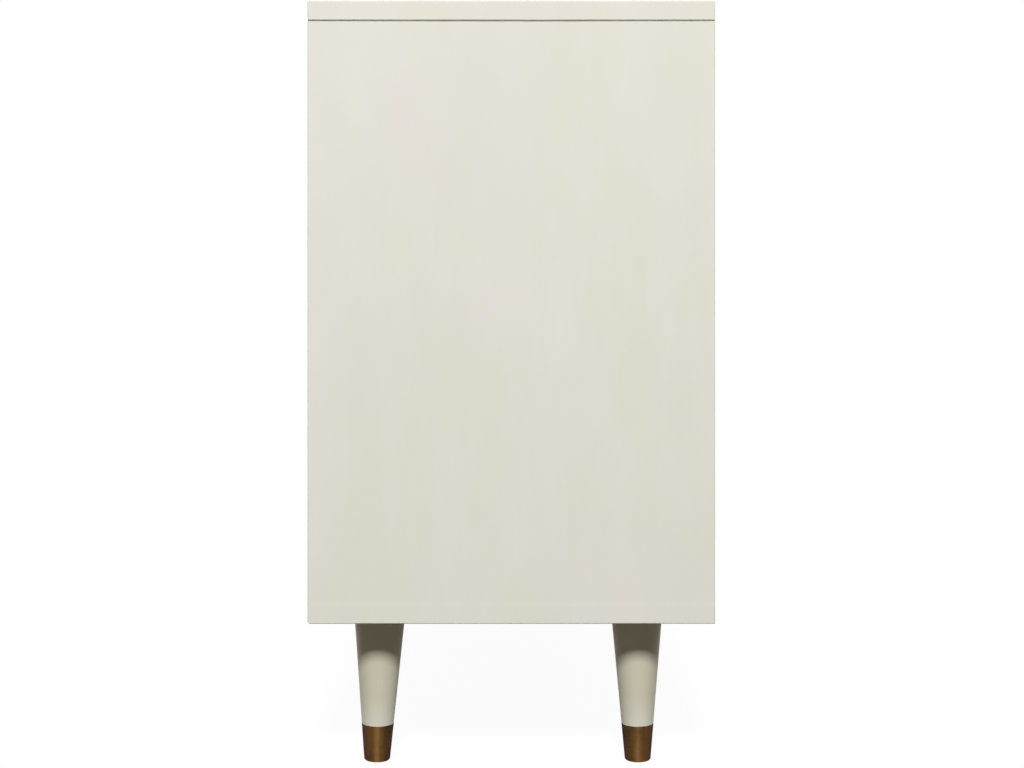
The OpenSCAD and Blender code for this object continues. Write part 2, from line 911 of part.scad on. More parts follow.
drawer_side(0, right);  // top_drawer_right_side
drawer_back(0);  // top_drawer_back
drawer_bottom(0);  // top_drawer_bottom
drawer_pull(0);  // top_drawer_pull
drawer_front(1);  // middle_drawer_front
drawer_side(1, left);  // middle_drawer_left_side
drawer_side(1, right);  // middle_drawer_right_side
drawer_back(1);  // middle_drawer_back
drawer_bottom(1);  // middle_drawer_bottom
drawer_pull(1);  // middle_drawer_pull
drawer_front(2);  // bottom_drawer_front
drawer_side(2, left);  // bottom_drawer_left_side
drawer_side(2, right);  // bottom_drawer_right_side
drawer_back(2);  // bottom_drawer_back
drawer_bottom(2);  // bottom_drawer_bottom
drawer_pull(2);  // bottom_drawer_pull
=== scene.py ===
import json
import math
import bmesh
import bpy
from mathutils import Matrix, Vector, noise as wander


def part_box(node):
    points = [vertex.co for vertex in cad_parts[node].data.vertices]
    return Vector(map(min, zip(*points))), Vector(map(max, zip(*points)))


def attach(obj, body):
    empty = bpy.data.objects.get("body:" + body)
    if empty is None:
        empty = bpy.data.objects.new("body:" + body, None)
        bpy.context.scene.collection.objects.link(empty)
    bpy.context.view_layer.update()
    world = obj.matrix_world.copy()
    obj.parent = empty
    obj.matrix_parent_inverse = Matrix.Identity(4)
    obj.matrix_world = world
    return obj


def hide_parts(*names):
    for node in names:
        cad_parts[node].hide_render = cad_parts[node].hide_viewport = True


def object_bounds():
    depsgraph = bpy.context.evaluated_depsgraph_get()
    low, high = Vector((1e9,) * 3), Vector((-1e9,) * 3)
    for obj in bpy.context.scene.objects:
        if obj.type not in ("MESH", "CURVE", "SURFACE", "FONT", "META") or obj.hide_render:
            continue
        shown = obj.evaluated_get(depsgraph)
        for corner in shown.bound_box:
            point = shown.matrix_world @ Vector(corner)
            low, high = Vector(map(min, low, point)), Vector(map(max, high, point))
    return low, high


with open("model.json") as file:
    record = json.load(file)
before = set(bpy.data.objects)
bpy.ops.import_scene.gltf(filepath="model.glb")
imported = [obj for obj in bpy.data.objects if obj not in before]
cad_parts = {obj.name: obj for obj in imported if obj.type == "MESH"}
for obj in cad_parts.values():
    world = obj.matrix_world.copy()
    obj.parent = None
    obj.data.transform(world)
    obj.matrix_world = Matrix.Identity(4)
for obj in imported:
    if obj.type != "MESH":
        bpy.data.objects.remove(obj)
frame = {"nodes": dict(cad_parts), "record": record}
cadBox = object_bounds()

scene = bpy.context.scene
nodes = frame["nodes"]
record = frame["record"]
low, high = cadBox
bodyOf = {node: body for body, members in record["behaviour"]["bodies"].items() for node in members}
slotOf = {part["node"]: part["material_slot"] for part in record["subparts"]}


def linear(r, g, b):  # a colour as it is seen on screen, 0 to 255, for a shader
    def channel(c):
        c = c / 255
        return c / 12.92 if c <= 0.04045 else ((c + 0.055) / 1.055) ** 2.4
    return channel(r), channel(g), channel(b), 1.0


def add(tree, kind, inputs=None, **settings):  # a node; each input is a value or the socket that feeds it
    node = tree.nodes.new(kind)
    for key, value in settings.items():
        setattr(node, key, value)
    for key, value in (inputs or {}).items():
        if isinstance(value, bpy.types.NodeSocket):
            tree.links.new(value, node.inputs[key])
        else:
            node.inputs[key].default_value = value
    return node


def sums(tree, operation, *values):  # arithmetic, in a tree of either kind
    return add(tree, "ShaderNodeMath", dict(enumerate(values)), operation=operation).outputs[0]


def remap(tree, value, fromLow, fromHigh, toLow=0.0, toHigh=1.0):  # one range over another, held at its ends
    return add(tree, "ShaderNodeMapRange", {"Value": value, "From Min": fromLow, "From Max": fromHigh,
                                            "To Min": toLow, "To Max": toHigh}).outputs[0]


# Camera: level and square to the right-hand end, placed by what the photograph shows
photoView = {
    "distance": 1.961,      # from the end of the case to the lens
    "height": 0.594,        # of the lens above the floor
    "pixelsAway": 1750,     # the same distance, in pixels of the picture
    "horizonRow": 250,      # row of the picture at the lens's height
    "middleColumn": 511.3,  # column of the picture at the middle of the case
    "width": 1024,
    "rows": 768,
    "sensor": 36,
}


def makeCamera(p):
    data = bpy.data.cameras.new("photoCamera")
    data.sensor_width = p["sensor"]
    data.lens = p["pixelsAway"] * data.sensor_width / p["width"]
    data.shift_x = (p["width"] / 2 - p["middleColumn"]) / p["width"]
    data.shift_y = (p["horizonRow"] - p["rows"] / 2) / p["width"]
    cam = bpy.data.objects.new("photoCamera", data)
    cam.location = (high.x + p["distance"], 0, p["height"])
    cam.rotation_euler = (math.pi / 2, 0, math.pi / 2)
    scene.collection.objects.link(cam)
    scene.camera = cam


makeCamera(photoView)
print("camera made")


# Light: one high softbox before the right-hand end, two broad ones along the sides, a pale room
lighting = {
    "keyAim": (0.05, 0.13),  # in from the right-hand end, and above the floor
    "keyAway": 8.5,
    "keyRise": 42.6,       # degrees above the floor
    "keySize": (1.25, 1.25),
    "keyLevel": 1.02,      # share of a white surface's full brightness, where the lamp strikes it squarely
    "sideAim": 0.5,        # above the floor, under the middle of the top
    "sideAway": 2.3,
    "sideRise": 14,
    "sideTurn": 134,       # degrees round from the right-hand end
    "sideSize": (2.4, 1.8),
    "sideLevel": 0.83,
    "roomLevel": 0.138,
    "floorHalf": 40,
    "floorBelow": 0.0002,  # the feet
    "floorBounce": linear(92, 86, 72),
    "floorShadow": 0.045,  # share of the floor's shadow that shows
    "floorFade": (1.2, 2.6),  # from the middle of the case: where the shadow starts and ends to fade
}


def softbox(name, target, turn, rise, away, size, level):
    turn, rise = math.radians(turn), math.radians(rise)
    aim = Vector((math.cos(turn) * math.cos(rise), math.sin(turn) * math.cos(rise), math.sin(rise)))
    data = bpy.data.lights.new(name, "AREA")
    data.shape = "RECTANGLE"
    data.size, data.size_y = size
    data.energy = level * (math.pi * away) ** 2
    lamp = bpy.data.objects.new(name, data)
    lamp.location = Vector(target) + aim * away
    lamp.rotation_euler = aim.to_track_quat("Z", "Y").to_euler()
    scene.collection.objects.link(lamp)


def plainlySeen(tree):  # 1 where the camera looks straight at it, or by a gloss or through glass
    path = add(tree, "ShaderNodeLightPath")
    seen = path.outputs["Is Camera Ray"]
    for ray in ("Is Glossy Ray", "Is Transmission Ray"):
        seen = sums(tree, "MAXIMUM", seen, path.outputs[ray])
    return seen


def makeRoom(p):
    world = bpy.data.worlds.new("paleRoom")
    world.use_nodes = True
    scene.world = world
    tree = world.node_tree
    tree.nodes.clear()
    lit = add(tree, "ShaderNodeBackground", {"Color": (1, 1, 1, 1), "Strength": p["roomLevel"]})
    white = add(tree, "ShaderNodeBackground", {"Color": (1, 1, 1, 1), "Strength": 1.0})
    mix = add(tree, "ShaderNodeMixShader", {0: plainlySeen(tree), 1: lit.outputs[0], 2: white.outputs[0]})
    add(tree, "ShaderNodeOutputWorld", {"Surface": mix.outputs[0]})


def makeFloor(p):
    half = p["floorHalf"]
    rim = [(-half, -half, 0), (half, -half, 0), (half, half, 0), (-half, half, 0)]
    mesh = bpy.data.meshes.new("studioFloor")
    mesh.from_pydata(rim, [], [(0, 1, 2, 3)])
    floor = bpy.data.objects.new("studioFloor", mesh)
    floor.location.z = low.z - p["floorBelow"]
    scene.collection.objects.link(floor)
    mat = bpy.data.materials.new("studioFloor")
    mat.use_nodes = True
    tree = mat.node_tree
    tree.nodes.clear()
    place = add(tree, "ShaderNodeTexCoord").outputs["Object"]
    away = add(tree, "ShaderNodeVectorMath", {0: place}, operation="LENGTH").outputs["Value"]
    shadow = remap(tree, away, *p["floorFade"], p["floorShadow"], 0.0)
    white = add(tree, "ShaderNodeEmission").outputs[0]
    shaded = add(tree, "ShaderNodeBsdfDiffuse", {"Color": (1, 1, 1, 1)}).outputs[0]
    bounce = add(tree, "ShaderNodeBsdfDiffuse", {"Color": p["floorBounce"]}).outputs[0]
    seen = add(tree, "ShaderNodeMixShader", {0: shadow, 1: white, 2: shaded}).outputs[0]
    both = add(tree, "ShaderNodeMixShader", {0: plainlySeen(tree), 1: bounce, 2: seen}).outputs[0]
    add(tree, "ShaderNodeOutputMaterial", {"Surface": both})
    mesh.materials.append(mat)


def makeLight(p):
    inward, up = p["keyAim"]
    softbox("endKey", (high.x - inward, 0, up), 0, p["keyRise"], p["keyAway"], p["keySize"], p["keyLevel"])
    for side in (-1, 1):
        softbox("sideSoftbox", (0, 0, p["sideAim"]), side * p["sideTurn"], p["sideRise"], p["sideAway"],
                p["sideSize"], p["sideLevel"])


makeRoom(lighting)
makeFloor(lighting)
makeLight(lighting)
print("light and floor made")


# Materials. A noise is drawn out to full strength between two of its values, firmly or gently.
firm = (0.38, 0.62)
gentle = (0.3, 0.7)


def shader(name):
    mat = bpy.data.materials.new(name)
    mat.use_nodes = True
    tree = mat.node_tree
    return mat, tree, tree.nodes["Principled BSDF"]


def ownPlace(tree):  # the piece's own coordinates
    return add(tree, "ShaderNodeTexCoord").outputs["Object"]


def stretched(tree, scale, where=None):  # squeezed, so that a noise runs along a direction
    where = ownPlace(tree) if where is None else where
    return add(tree, "ShaderNodeMapping", {"Vector": where, "Scale": scale}).outputs[0]


def noise(tree, where, scale=1.0, detail=3.0, roughness=0.55, distortion=0.0):
    return add(tree, "ShaderNodeTexNoise", {"Vector": where, "Scale": scale, "Detail": detail,
                                            "Roughness": roughness, "Distortion": distortion}).outputs[0]


def blended(tree, factor, a, b):  # two colours
    return add(tree, "ShaderNodeMix", {0: factor, 6: a, 7: b}, data_type="RGBA").outputs[2]


def either(tree, factor, a, b):  # two numbers
    return add(tree, "ShaderNodeMix", {0: factor, 2: a, 3: b}, data_type="FLOAT").outputs[0]


def halfAndHalf(tree, a, b):
    return either(tree, 0.5, a, b)


def facing(tree, axis):  # how squarely the piece's surface faces along X, Y or Z, 0 to 1
    place = add(tree, "ShaderNodeTexCoord")
    parts = add(tree, "ShaderNodeSeparateXYZ", {0: place.outputs["Normal"]})
    return sums(tree, "ABSOLUTE", parts.outputs[axis])


def bump(tree, bsdf, height, depth):
    node = add(tree, "ShaderNodeBump", {"Height": height, "Distance": depth})
    tree.links.new(node.outputs[0], bsdf.inputs["Normal"])


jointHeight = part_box("bottom_panel")[1].z  # of the joints between the end panels and the bottom panel

ivoryPaint = {
    "board": {"thick": linear(229, 227, 218), "thin": linear(224, 223, 210), "cool": linear(226, 222, 220)},
    "leg": {"thick": linear(215, 211, 191), "thin": linear(208, 204, 183), "cool": linear(210, 207, 192)},
    "rubbed": linear(222, 221, 207),  # painted light on the legs just above the ferrules, where light bounced up from the floor falls
    "rubbedBetween": (0.08, 0.045),  # heights above the floor, from none to all of it
    "worn": linear(221, 220, 213),  # along the arrises
    "wornShows": (0.35, 0.75, 0.25, 0.8),  # a noise's range, then the share of the colour for it
    "chips": 60,
    "ridge": linear(240, 239, 228),  # painted highlight along the filled joints, where the paint stands up a little and would catch the light
    "ridgeWide": 0.0028,
    "ridgeShows": 0.13,
    "strokes": (700, 9),   # brush hairs in a metre, across and along the brush's path
    "strokesShow": 0.15,
    "smears": (26, 6),
    "smearsShow": 0.4,
    "patches": (10, 6),
    "tints": 7,
    "tintsShow": (0.45, 0.7, 0.0, 0.5),
    "endsFrom": (0.6, 0.8),  # how squarely a surface faces along X to count as a board's end
    "gloss": (0.57, 0.63),
    "specular": 0.25,
    "strokeDepth": 0.00002,
}


def paintMaterial(name, p, coats, along, rubbed=False):  # brushed along one axis
    mat, tree, bsdf = shader(name)

    def brushed(axis):  # the thickness of the coat, and its fine brush marks
        def drawn(across, down, detail):
            scale = [across] * 3
            scale["XYZ".index(axis)] = down
            return noise(tree, stretched(tree, scale), detail=detail)

        marks = drawn(*p["strokes"], detail=2)
        patches = remap(tree, drawn(*p["patches"], detail=4), *firm)
        smears = remap(tree, drawn(*p["smears"], detail=3), *firm)
        broad = either(tree, p["smearsShow"], patches, smears)
        return either(tree, p["strokesShow"], broad, remap(tree, marks, *gentle)), marks

    coat, strokes = brushed(along)
    if along == "X":  # the ends of a level board are painted with the upright boards beside them
        atEnd = remap(tree, facing(tree, "X"), *p["endsFrom"])
        endCoat, endStrokes = brushed("Z")
        coat = either(tree, atEnd, coat, endCoat)
        strokes = either(tree, atEnd, strokes, endStrokes)
    tint = remap(tree, noise(tree, ownPlace(tree), p["tints"]), *p["tintsShow"])
    colour = blended(tree, tint, blended(tree, coat, coats["thin"], coats["thick"]), coats["cool"])
    height = add(tree, "ShaderNodeSeparateXYZ", {0: ownPlace(tree)}).outputs[2]
    # painted light: the legs turn lighter and cooler just above the ferrules, standing in for light bounced
    # up from the floor
    if rubbed:
        colour = blended(tree, remap(tree, height, *p["rubbedBetween"]), colour, p["rubbed"])
    else:
        # painted highlight: a lighter line along the filled joints on faces along X, standing in for the
        # light a raised ridge of paint catches
        above = sums(tree, "SUBTRACT", height, jointHeight)
        near = remap(tree, sums(tree, "ABSOLUTE", above), p["ridgeWide"], 0.0, 0.0, p["ridgeShows"])
        colour = blended(tree, sums(tree, "MULTIPLY", near, facing(tree, "X")), colour, p["ridge"])
    worn = add(tree, "ShaderNodeAttribute", attribute_name="arris").outputs["Fac"]
    patchy = noise(tree, ownPlace(tree), p["chips"])
    wear = sums(tree, "MULTIPLY", worn, remap(tree, patchy, *p["wornShows"]))
    tree.links.new(blended(tree, wear, colour, p["worn"]), bsdf.inputs["Base Color"])
    tree.links.new(remap(tree, strokes, *gentle, *p["gloss"]), bsdf.inputs["Roughness"])
    bsdf.inputs["Specular IOR Level"].default_value = p["specular"]
    bump(tree, bsdf, strokes, p["strokeDepth"])
    return mat


turnedMap = "turned"  # name of the UV map of a turned piece: U runs along its profile, V round it

agedBrass = {
    "bright": linear(121, 89, 47),
    "deep": linear(90, 65, 37),
    "patina": linear(55, 45, 32),
    "edge": (0.0, 0.1, 0.6, 1),  # grazing light comes back greyer
    "hairs": 1100,
    "hairRun": 14,
    "broader": 6,          # so many times wider than the hairs are the streaks
    "stains": 55,
    "stainsShow": (0.5, 0.72, 0.0, 0.6),
    "streaksFrom": (0.2, 0.8),
    "roughness": (0.38, 0.56),
    "hairDepth": 0.00003,
    "ferruleRoughness": (0.62, 0.74),
    "ferruleTurned": 0.8,  # how far a highlight is drawn out across the turning marks
    "pullBright": linear(158, 120, 66),  # fingers keep the pulls brighter
    "pullDeep": linear(112, 82, 45),
    "pullRoughness": (0.24, 0.4),
    "pullTurned": 0.55,
    "pullMarks": (5200, 3),  # turning marks in a metre of the profile, and round the piece
}


def brassMaterial(name, p, use):  # brushed upright, or turned, with a mottled patina
    mat, tree, bsdf = shader(name)
    if use == "pull":
        where = add(tree, "ShaderNodeUVMap", uv_map=turnedMap).outputs[0]
        across, along = p["pullMarks"]
        fine, wide, detail = (across, along, 1), (across / p["broader"], along, 1), 3
    else:
        where = ownPlace(tree)
        fine = (p["hairs"], p["hairs"], p["hairRun"])
        wide, detail = [s / p["broader"] for s in fine], 2
    hairs = noise(tree, stretched(tree, fine, where), detail=detail)
    broad = noise(tree, stretched(tree, wide, where), detail=detail)
    stain = noise(tree, ownPlace(tree), p["stains"], detail=5, roughness=0.6, distortion=0.4)
    streak = halfAndHalf(tree, remap(tree, hairs, *gentle), remap(tree, broad, *gentle))
    bright, deep = (p["pullBright"], p["pullDeep"]) if use == "pull" else (p["bright"], p["deep"])
    metal = blended(tree, streak, deep, bright)
    colour = blended(tree, remap(tree, stain, *p["stainsShow"]), metal, p["patina"])
    tree.links.new(colour, bsdf.inputs["Base Color"])
    rough = p["roughness"] if use == "hinge" else p[use + "Roughness"]
    tree.links.new(remap(tree, streak, *p["streaksFrom"], *rough), bsdf.inputs["Roughness"])
    bsdf.inputs["Metallic"].default_value = 1.0
    bsdf.inputs["Specular Tint"].default_value = p["edge"]
    if use != "hinge":
        bsdf.inputs["Anisotropic"].default_value = p[use + "Turned"]
        direction = add(tree, "ShaderNodeTangent", direction_type="UV_MAP", uv_map=turnedMap)
        tree.links.new(direction.outputs[0], bsdf.inputs["Tangent"])
    bump(tree, bsdf, hairs, p["hairDepth"])
    return mat


mapleWood = {
    "pale": linear(222, 194, 152),
    "warm": linear(198, 162, 116),
    "pore": linear(158, 120, 80),
    "endGrain": linear(170, 132, 90),
    "rings": 26,
    "ringRun": 1.6,
    "ringsBend": 7,
    "ringsShow": (0.1, 0.95, 0.0, 0.6),
    "figure": (14, 5),
    "figureShows": (0.35, 0.7, 0.0, 0.4),
    "fibres": 900,
    "fibreRun": 22,
    "fibresShow": (0.35, 0.7, 0.0, 0.25),
    "fleckWide": 3,        # so many times wider than a fibre, and shorter
    "flecksShow": (0.6, 0.75, 0.0, 0.4),
    "endsFrom": (0.7, 0.8),  # how squarely a surface faces along the grain to count as end grain
    "speckles": 900,
    "specklesShow": (0.35, 0.65),
    "roughness": (0.38, 0.52),
    "fibreDepth": 0.00005,
}


def mapleMaterial(name, p, grainAxis):
    mat, tree, bsdf = shader(name)
    at = "XYZ".index(grainAxis)

    def along(across, down):
        scale = [across] * 3
        scale[at] = down
        return stretched(tree, scale)

    rings = add(tree, "ShaderNodeTexWave", {"Vector": along(p["rings"], p["ringRun"]), "Scale": 1.0,
                                            "Distortion": p["ringsBend"], "Detail": 3, "Detail Scale": 1.2},
                bands_direction="DIAGONAL").outputs[0]
    fibres = noise(tree, along(p["fibres"], p["fibreRun"]), detail=2)
    flecks = noise(tree, along(p["fibres"] / p["fleckWide"], p["fibreRun"] * p["fleckWide"]), detail=1)
    figure = noise(tree, along(*p["figure"]))
    colour = blended(tree, remap(tree, rings, *p["ringsShow"]), p["pale"], p["warm"])
    colour = blended(tree, remap(tree, figure, *p["figureShows"]), colour, p["warm"])
    colour = blended(tree, remap(tree, flecks, *p["flecksShow"]), colour, p["pore"])
    colour = blended(tree, remap(tree, fibres, *p["fibresShow"]), colour, p["pore"])
    ends = remap(tree, facing(tree, grainAxis), *p["endsFrom"])
    speckle = noise(tree, ownPlace(tree), p["speckles"], detail=2)
    endColour = blended(tree, remap(tree, speckle, *p["specklesShow"]), p["endGrain"], p["pore"])
    tree.links.new(blended(tree, ends, colour, endColour), bsdf.inputs["Base Color"])
    tree.links.new(remap(tree, fibres, *gentle, *p["roughness"]), bsdf.inputs["Roughness"])
    bump(tree, bsdf, fibres, p["fibreDepth"])
    return mat


birchPly = {
    "face": linear(226, 202, 164),
    "warm": linear(206, 176, 132),
    "core": linear(150, 112, 72),
    "figure": (2.2, 34, 34),
    "figureBends": 1.2,
    "figureShows": (0.35, 0.7),
    "fibres": (24, 900, 900),
    "fibresShow": (0.4, 0.75, 0.0, 0.3),
    "plies": 330,          # layers in a metre of thickness
    "facesFrom": (0.3, 0.5),  # how squarely a surface faces up or down to count as the sheet's face
    "roughness": (0.42, 0.58),
    "fibreDepth": 0.00004,
}


def plyMaterial(name, p):
    mat, tree, bsdf = shader(name)
    figure = noise(tree, stretched(tree, p["figure"]), detail=4, roughness=0.6, distortion=p["figureBends"])
    fibres = noise(tree, stretched(tree, p["fibres"]), detail=2)
    colour = blended(tree, remap(tree, figure, *p["figureShows"]), p["face"], p["warm"])
    colour = blended(tree, remap(tree, fibres, *p["fibresShow"]), colour, p["core"])
    layer = add(tree, "ShaderNodeTexWave", {"Vector": stretched(tree, (0, 0, p["plies"])), "Scale": 0.5},
                bands_direction="Z").outputs[0]
    edge = blended(tree, remap(tree, layer, *gentle), p["core"], p["warm"])
    colour = blended(tree, remap(tree, facing(tree, "Z"), *p["facesFrom"]), edge, colour)
    tree.links.new(colour, bsdf.inputs["Base Color"])
    tree.links.new(remap(tree, fibres, *gentle, *p["roughness"]), bsdf.inputs["Roughness"])
    bump(tree, bsdf, fibres, p["fibreDepth"])
    return mat


zincSteel = {
    "light": linear(192, 193, 196),
    "dark": linear(166, 168, 172),
    "hairs": 2600,         # rolling marks in a metre, across and along them
    "hairRun": 90,
    "cloud": 160,
    "roughness": (0.3, 0.46),
    "hairDepth": 0.00002,
}


def steelMaterial(name, p):
    mat, tree, bsdf = shader(name)
    hairs = noise(tree, stretched(tree, (p["hairRun"], p["hairs"], p["hairs"])), detail=2)
    cloud = noise(tree, ownPlace(tree), p["cloud"])
    tone = halfAndHalf(tree, remap(tree, hairs, *gentle), remap(tree, cloud, *gentle))
    tree.links.new(blended(tree, tone, p["dark"], p["light"]), bsdf.inputs["Base Color"])
    tree.links.new(remap(tree, tone, 0, 1, *p["roughness"]), bsdf.inputs["Roughness"])
    bsdf.inputs["Metallic"].default_value = 1.0
    bump(tree, bsdf, hairs, p["hairDepth"])
    return mat


blackNylon = {
    "dark": linear(34, 32, 31),
    "light": linear(48, 46, 44),
    "grain": 1400,
    "roughness": (0.5, 0.65),
    "depth": 0.00006,
}


def nylonMaterial(name, p):
    mat, tree, bsdf = shader(name)
    grain = noise(tree, ownPlace(tree), p["grain"], detail=2)
    tree.links.new(blended(tree, grain, p["dark"], p["light"]), bsdf.inputs["Base Color"])
    tree.links.new(remap(tree, grain, *gentle, *p["roughness"]), bsdf.inputs["Roughness"])
    bump(tree, bsdf, grain, p["depth"])
    return mat


paintedLevel = paintMaterial("paintedLevel", ivoryPaint, ivoryPaint["board"], "X")
paintedUpright = paintMaterial("paintedUpright", ivoryPaint, ivoryPaint["board"], "Z")
paintedLeg = paintMaterial("paintedLeg", ivoryPaint, ivoryPaint["leg"], "Z", rubbed=True)
ferruleBrass = brassMaterial("ferruleBrass", agedBrass, "ferrule")
pullBrass = brassMaterial("pullBrass", agedBrass, "pull")
hingeBrass = brassMaterial("hingeBrass", agedBrass, "hinge")
mapleLong = mapleMaterial("mapleLong", mapleWood, "Y")
mapleWide = mapleMaterial("mapleWide", mapleWood, "X")
drawerPly = plyMaterial("drawerPly", birchPly)
zincPlate = steelMaterial("zincPlate", zincSteel)
nylonMoulding = nylonMaterial("nylonMoulding", blackNylon)


def finishFor(node):
    if node.endswith("_leg"):
        return paintedLeg
    if node.endswith("_ferrule"):
        return ferruleBrass
    if node.endswith("_pull"):
        return pullBrass
    if slotOf[node] == "drawer_wood":
        return mapleWide if node.endswith("_back") else mapleLong
    if node.endswith(("_end_panel", "_divider", "_door", "back_panel")):
        return paintedUpright
    return {"paint": paintedLevel, "brass": hingeBrass, "drawer_ply": drawerPly,
            "steel": zincPlate, "nylon": nylonMoulding}[slotOf[node]]


for node in nodes:
    for used in nodes[node].material_slots:
        used.material = finishFor(node)
print("materials made")


# Shared by every piece
onPlane = 0.0001  # points this close to a plane lie on it
weld = 0.00001    # points this close to each other are one
bend = 28         # degrees that a surface turns by at an arris


def turnsBy(edge):  # degrees between its two faces
    return math.degrees(edge.calc_face_angle(0)) if len(edge.link_faces) == 2 else 0


def around(count):  # angles of the points of a ring
    return [2 * math.pi * k / count for k in range(count)]


def newObject(name, mesh, material=None):
    obj = bpy.data.objects.new(name, mesh)
    scene.collection.objects.link(obj)
    if material:
        mesh.materials.append(material)
    return obj


def finishMesh(name, bm, material=None):  # a built shape becomes an object, its arrises sharp
    bmesh.ops.recalc_face_normals(bm, faces=bm.faces)
    for face in bm.faces:
        face.smooth = True
    for edge in bm.edges:
        edge.smooth = turnsBy(edge) < bend
    mesh = bpy.data.meshes.new(name)
    bm.to_mesh(mesh)
    bm.free()
    return newObject(name, mesh, material)


def plainMesh(obj):  # works the modifiers into the mesh
    graph = bpy.context.evaluated_depsgraph_get()
    done = obj.evaluated_get(graph)
    mesh = bpy.data.meshes.new_from_object(done, preserve_all_data_layers=True, depsgraph=graph)
    obj.modifiers.clear()
    old = obj.data
    obj.data = mesh
    bpy.data.meshes.remove(old)


def settle(piece, body, slot, *replaced):
    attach(piece, body)
    if replaced:
        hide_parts(*replaced)


def standFor(piece, node):  # the piece takes over a node's body and place
    settle(piece, bodyOf[node], slotOf[node], node)


# Boards and plates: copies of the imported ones, merged, with their long arrises rounded over
softening = {
    "board": 0.0004,       # width of the round beside each edge of a painted board
    "drawerPart": 0.0005,
    "metal": 0.0002,
    "segments": 2,
    "profile": 0.5,        # a round one
    "flatWithin": 0.5,     # degrees: triangles that lie this flat become one face
    "longEnough": 0.012,   # shorter edges of a board stay sharp
    "metalLongEnough": 0.0015,
    "arrisWidth": 0.0013,  # faces narrower than this count as arrises, where paint wears
}


def filled(edge):  # the joint of an end panel with the bottom panel is filled and painted over
    return all(abs(v.co.z - jointHeight) < onPlane for v in edge.verts)


def softCopy(p, node, name, width, longEnough):
    bm = bmesh.new()
    bm.from_mesh(nodes[node].data)
    bmesh.ops.remove_doubles(bm, verts=bm.verts, dist=weld)
    bmesh.ops.dissolve_limit(bm, angle_limit=math.radians(p["flatWithin"]), verts=bm.verts, edges=bm.edges)
    arrises = [e for e in bm.edges if turnsBy(e) > bend and e.calc_length() > longEnough and not filled(e)]
    bmesh.ops.bevel(bm, geom=arrises, offset=width, offset_type="OFFSET", segments=p["segments"],
                    profile=p["profile"], affect="EDGES", clamp_overlap=False, miter_outer="ARC",
                    miter_inner="SHARP")
    wear = bm.loops.layers.float.new("arris")
    for face in bm.faces:
        face.smooth = True
        rim = sum(e.calc_length() for e in face.edges)
        if 2 * face.calc_area() / rim < p["arrisWidth"]:
            for corner in face.loops:
                corner[wear] = 1.0
    for edge in bm.edges:
        edge.smooth = turnsBy(edge) < bend
    mesh = bpy.data.meshes.new(name)
    bm.to_mesh(mesh)
    bm.free()
    piece = newObject(name, mesh, finishFor(node))
    level = piece.modifiers.new("flatFaces", "WEIGHTED_NORMAL")
    level.mode = "FACE_AREA"
    level.weight = 100
    level.keep_sharp = True
    plainMesh(piece)
    return piece


def makeBoards(p):
    for node in nodes:
        if slotOf[node] == "paint" and not node.endswith("_leg"):
            standFor(softCopy(p, node, node + "_board", p["board"], p["longEnough"]), node)
        elif slotOf[node] == "drawer_wood":
            standFor(softCopy(p, node, node + "_wood", p["drawerPart"], p["longEnough"]), node)
        elif node.endswith("_leaf") or node == "catches":
            standFor(softCopy(p, node, node + "_plate", p["metal"], p["metalLongEnough"]), node)


makeBoards(softening)
print("boards, hinge leaves and catches made")


# Paint built up along the seam below the top panel, which leaves its shadow line a little uneven
seamPaint = {
    "radius": 0.0006,
    "inset": 0.00005,       # of the bead, behind the faces of the boards
    "endsIn": 0.0006,       # from the front and the back of the case
    "lowerShows": 0.0004,   # above the end panel, at mid-depth
    "lowerBow": 0.0005,     # more than that at the front and the back
    "upperShows": -0.0003,  # below the top panel, at mid-depth
    "upperBow": -0.0002,
    "wander": 0.00022,
    "waves": 12,            # of the wander, in a metre
    "step": 0.004,
    "sides": 10,
    "seeds": (10.0, 3.0),   # apart, for the two ends of the case and the two edges of the line
}


def dressTree(tree, geometry, material):  # the last nodes of a tree
    solid = add(tree, "GeometryNodeRealizeInstances", {"Geometry": geometry}).outputs[0]
    dressed = add(tree, "GeometryNodeSetMaterial", {"Geometry": solid, "Material": material}).outputs[0]
    add(tree, "NodeGroupOutput", {"Geometry": dressed})


